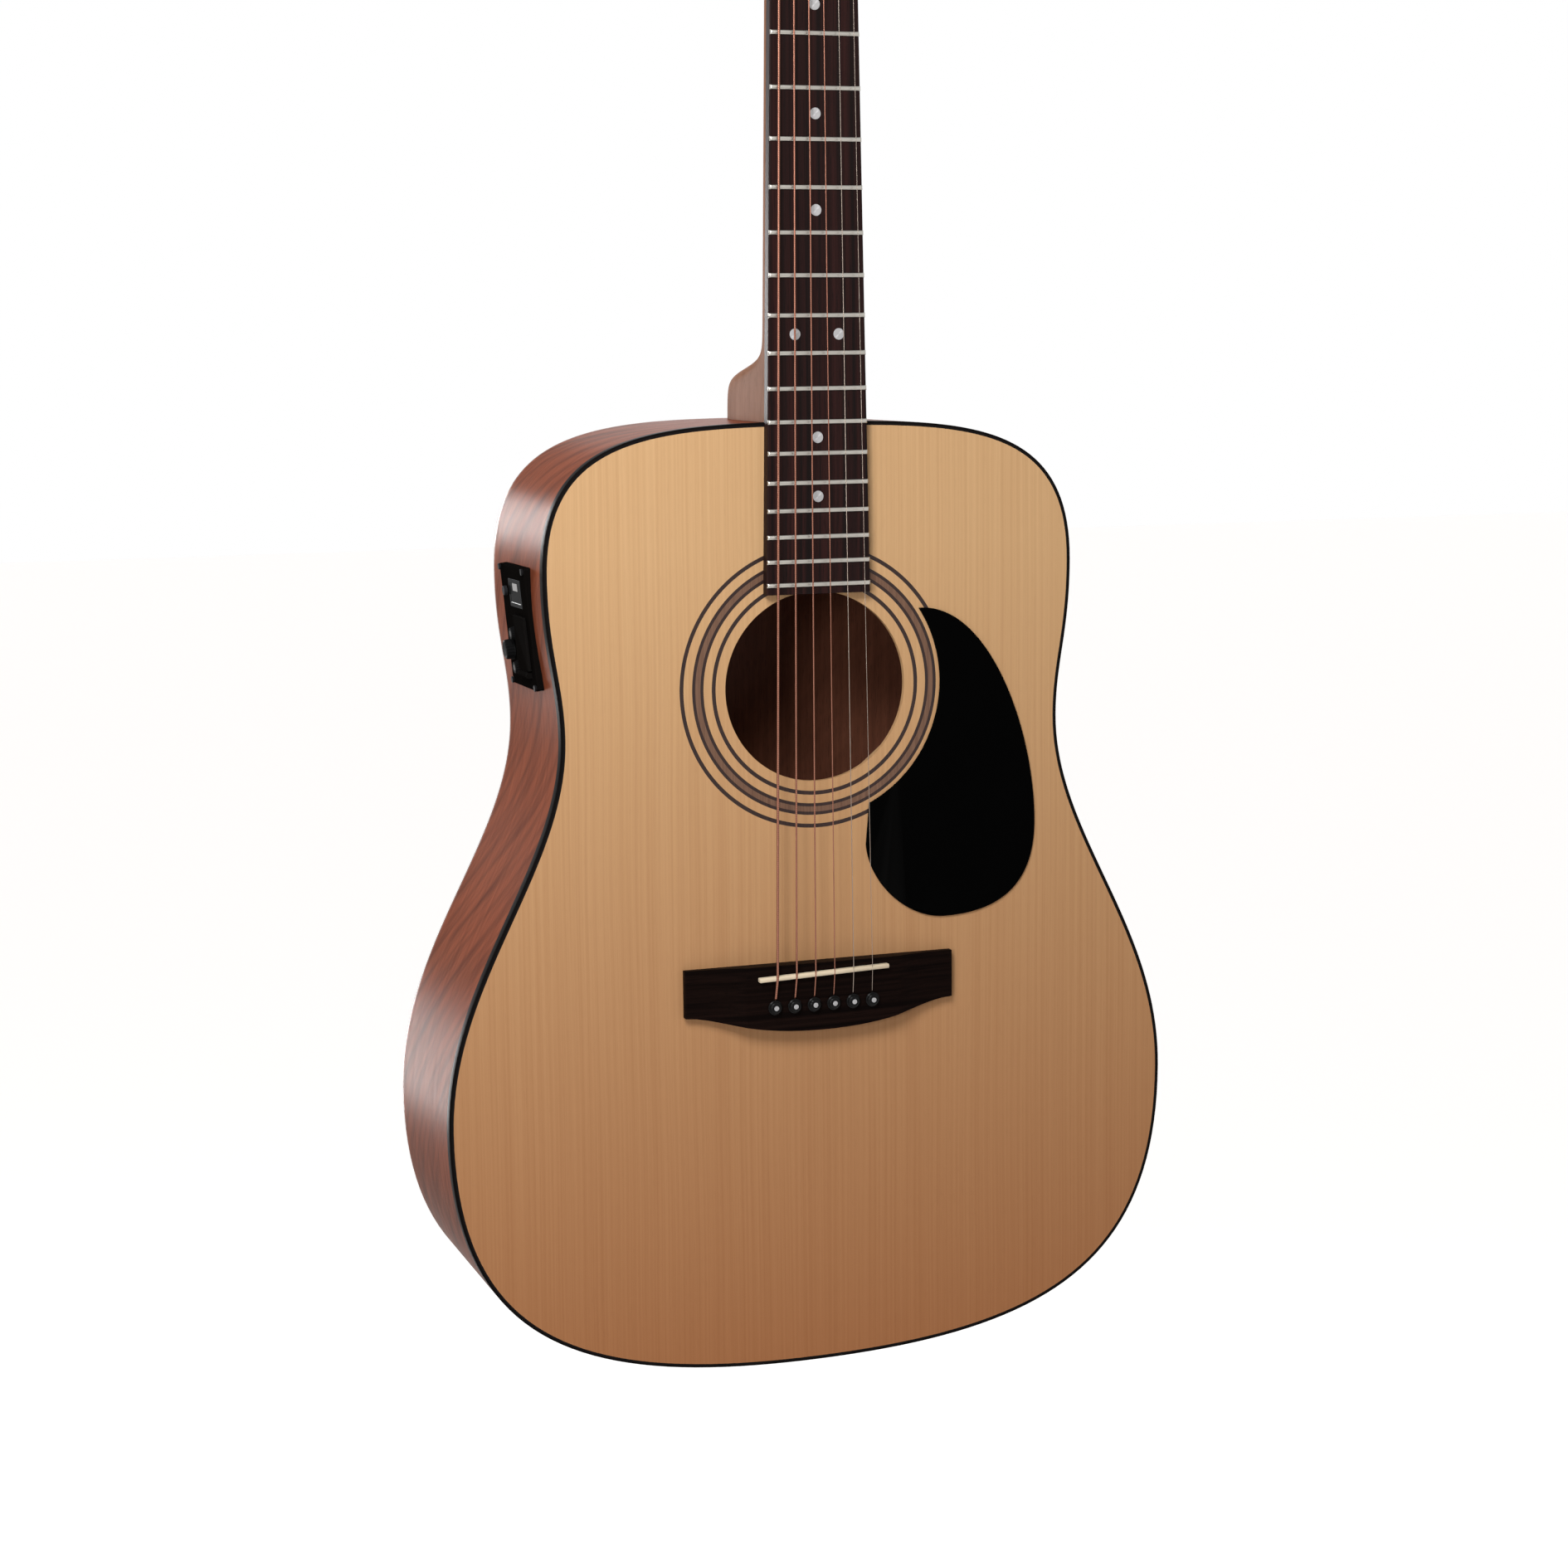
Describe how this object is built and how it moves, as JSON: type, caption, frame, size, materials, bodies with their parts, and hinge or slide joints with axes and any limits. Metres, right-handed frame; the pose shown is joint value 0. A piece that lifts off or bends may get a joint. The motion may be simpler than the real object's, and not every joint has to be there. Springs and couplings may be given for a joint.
{
  "type": "acoustic guitar",
  "caption": "Steel-string dreadnought acoustic guitar with a spruce top, mahogany body, black pickguard, side preamp, geared tuners and an output jack in the tail.",
  "frame": {"origin": "on the axis of the output jack, at the outer face of the tail", "axes": "+Z from the tail to the headstock, -Y out of the top (the strings' side), +X towards the treble side"},
  "size_m": [0.404, 0.1335, 1.0605],
  "materials": {
    "spruce_top": "satin",
    "mahogany": "satin gloss",
    "neck_wood": "satin",
    "inner_wood": "raw",
    "brace_spruce": "raw",
    "rosette_inlay": "satin",
    "black_binding": "polished",
    "pickguard": "satin gloss",
    "rosewood": "oiled",
    "bone": "satin",
    "pearl": "polished",
    "pin_plastic": "polished",
    "fret_wire": "polished",
    "steel": "brushed",
    "string_bronze": "wound",
    "string_steel": "drawn wire",
    "chrome": "polished",
    "preamp_plastic": "fine texture",
    "knob_plastic": "satin",
    "window": "polished",
    "switch_plastic": "satin",
    "battery_case": "semi gloss"
  },
  "bodies": {
    "guitar": {"soundboard": "spruce_top", "back": "mahogany", "side_bass": "mahogany", "side_treble": "mahogany", "binding": "black_binding", "linings": "inner_wood", "neck_block": "inner_wood", "tail_block": "inner_wood", "top_braces": "brace_spruce", "back_braces": "brace_spruce", "bridge_plate": "inner_wood", "rosette": "rosette_inlay", "pickguard": "pickguard", "bridge": "rosewood", "saddle": "bone", "pickup_strip": "steel", "bridge_pins": "pin_plastic", "neck": "neck_wood", "heel_cap": "black_binding", "headstock": "neck_wood", "headplate": "rosewood", "fingerboard": "rosewood", "frets": "fret_wire", "position_dots": "pearl", "nut": "bone", "truss_rod": "steel", "strings": "string_bronze", "tuner_housings": "chrome", "tuner_bushings": "chrome", "tuner_screws": "steel", "preamp_housing": "preamp_plastic", "preamp_panel": "preamp_plastic", "display_window": "window", "battery": "battery_case", "preamp_screws": "steel", "output_jack": "chrome"},
    "tuner_key_1": {"tuner_key_1": "chrome"},
    "tuner_post_1": {"tuner_post_1": "chrome", "string_winding_1": "string_bronze"},
    "tuner_key_2": {"tuner_key_2": "chrome"},
    "tuner_post_2": {"tuner_post_2": "chrome", "string_winding_2": "string_bronze"},
    "tuner_key_3": {"tuner_key_3": "chrome"},
    "tuner_post_3": {"tuner_post_3": "chrome", "string_winding_3": "string_bronze"},
    "tuner_key_4": {"tuner_key_4": "chrome"},
    "tuner_post_4": {"tuner_post_4": "chrome", "string_winding_4": "string_bronze"},
    "tuner_key_5": {"tuner_key_5": "chrome"},
    "tuner_post_5": {"tuner_post_5": "chrome", "string_winding_5": "string_steel"},
    "tuner_key_6": {"tuner_key_6": "chrome"},
    "tuner_post_6": {"tuner_post_6": "chrome", "string_winding_6": "string_steel"},
    "volume_knob": {"volume_knob": "knob_plastic"},
    "bass_knob": {"bass_knob": "knob_plastic"},
    "treble_knob": {"treble_knob": "knob_plastic"},
    "tuner_switch": {"tuner_switch": "switch_plastic"},
    "battery_door": {"battery_door": "preamp_plastic"},
    "truss_rod_nut": {"truss_rod_nut": "steel"}
  },
  "joints": [
    {"name": "tuner_key_1_turn", "type": "hinge", "parent": "guitar", "child": "tuner_key_1", "pos_m": [-0.022, -0.03407, 0.89821], "axis": [1, 0, 0], "continuous": true},
    {"name": "tuner_post_1_turn", "type": "hinge", "parent": "guitar", "child": "tuner_post_1", "pos_m": [-0.022, -0.04936, 0.91027], "axis": [0, 0.9703, -0.2419], "continuous": true},
    {"name": "tuner_key_2_turn", "type": "hinge", "parent": "guitar", "child": "tuner_key_2", "pos_m": [-0.022, -0.02366, 0.93993], "axis": [1, 0, 0], "continuous": true},
    {"name": "tuner_post_2_turn", "type": "hinge", "parent": "guitar", "child": "tuner_post_2", "pos_m": [-0.022, -0.03895, 0.95199], "axis": [0, 0.9703, -0.2419], "continuous": true},
    {"name": "tuner_key_3_turn", "type": "hinge", "parent": "guitar", "child": "tuner_key_3", "pos_m": [-0.022, -0.01326, 0.98166], "axis": [1, 0, 0], "continuous": true},
    {"name": "tuner_post_3_turn", "type": "hinge", "parent": "guitar", "child": "tuner_post_3", "pos_m": [-0.022, -0.02855, 0.99371], "axis": [0, 0.9703, -0.2419], "continuous": true},
    {"name": "tuner_key_4_turn", "type": "hinge", "parent": "guitar", "child": "tuner_key_4", "pos_m": [0.022, -0.01326, 0.98166], "axis": [1, 0, 0], "continuous": true},
    {"name": "tuner_post_4_turn", "type": "hinge", "parent": "guitar", "child": "tuner_post_4", "pos_m": [0.022, -0.02855, 0.99371], "axis": [0, 0.9703, -0.2419], "continuous": true},
    {"name": "tuner_key_5_turn", "type": "hinge", "parent": "guitar", "child": "tuner_key_5", "pos_m": [0.022, -0.02366, 0.93993], "axis": [1, 0, 0], "continuous": true},
    {"name": "tuner_post_5_turn", "type": "hinge", "parent": "guitar", "child": "tuner_post_5", "pos_m": [0.022, -0.03895, 0.95199], "axis": [0, 0.9703, -0.2419], "continuous": true},
    {"name": "tuner_key_6_turn", "type": "hinge", "parent": "guitar", "child": "tuner_key_6", "pos_m": [0.022, -0.03407, 0.89821], "axis": [1, 0, 0], "continuous": true},
    {"name": "tuner_post_6_turn", "type": "hinge", "parent": "guitar", "child": "tuner_post_6", "pos_m": [0.022, -0.04936, 0.91027], "axis": [0, 0.9703, -0.2419], "continuous": true},
    {"name": "volume_turn", "type": "hinge", "parent": "guitar", "child": "volume_knob", "pos_m": [-0.14371, 0.004, 0.38756], "axis": [-0.9952, 0, -0.0977], "range_deg": [-140, 140]},
    {"name": "bass_turn", "type": "hinge", "parent": "guitar", "child": "bass_knob", "pos_m": [-0.14459, -0.004, 0.39652], "axis": [-0.9952, 0, -0.0977], "range_deg": [-140, 140]},
    {"name": "treble_turn", "type": "hinge", "parent": "guitar", "child": "treble_knob", "pos_m": [-0.14283, -0.004, 0.37861], "axis": [-0.9952, 0, -0.0977], "range_deg": [-140, 140]},
    {"name": "tuner_switch_press", "type": "slide", "parent": "guitar", "child": "tuner_switch", "axis": [0.9952, 0, 0.0977], "range_m": [0, 0.001], "stiffness_N_per_m": 400},
    {"name": "battery_door_swing", "type": "hinge", "parent": "guitar", "child": "battery_door", "pos_m": [-0.14644, -0.0195, 0.37599], "axis": [0, -1, 0], "range_deg": [0, 100]},
    {"name": "truss_rod_nut_turn", "type": "hinge", "parent": "guitar", "child": "truss_rod_nut", "pos_m": [0, -0.0524, 0.4455], "axis": [0, 0, 1], "range_deg": [-180, 180]}
  ],
  "couplings": [
    {"joint": "tuner_post_1_turn", "follows": "tuner_key_1_turn", "ratio": -0.066667},
    {"joint": "tuner_post_2_turn", "follows": "tuner_key_2_turn", "ratio": -0.066667},
    {"joint": "tuner_post_3_turn", "follows": "tuner_key_3_turn", "ratio": -0.066667},
    {"joint": "tuner_post_4_turn", "follows": "tuner_key_4_turn", "ratio": 0.066667},
    {"joint": "tuner_post_5_turn", "follows": "tuner_key_5_turn", "ratio": 0.066667},
    {"joint": "tuner_post_6_turn", "follows": "tuner_key_6_turn", "ratio": 0.066667}
  ]
}
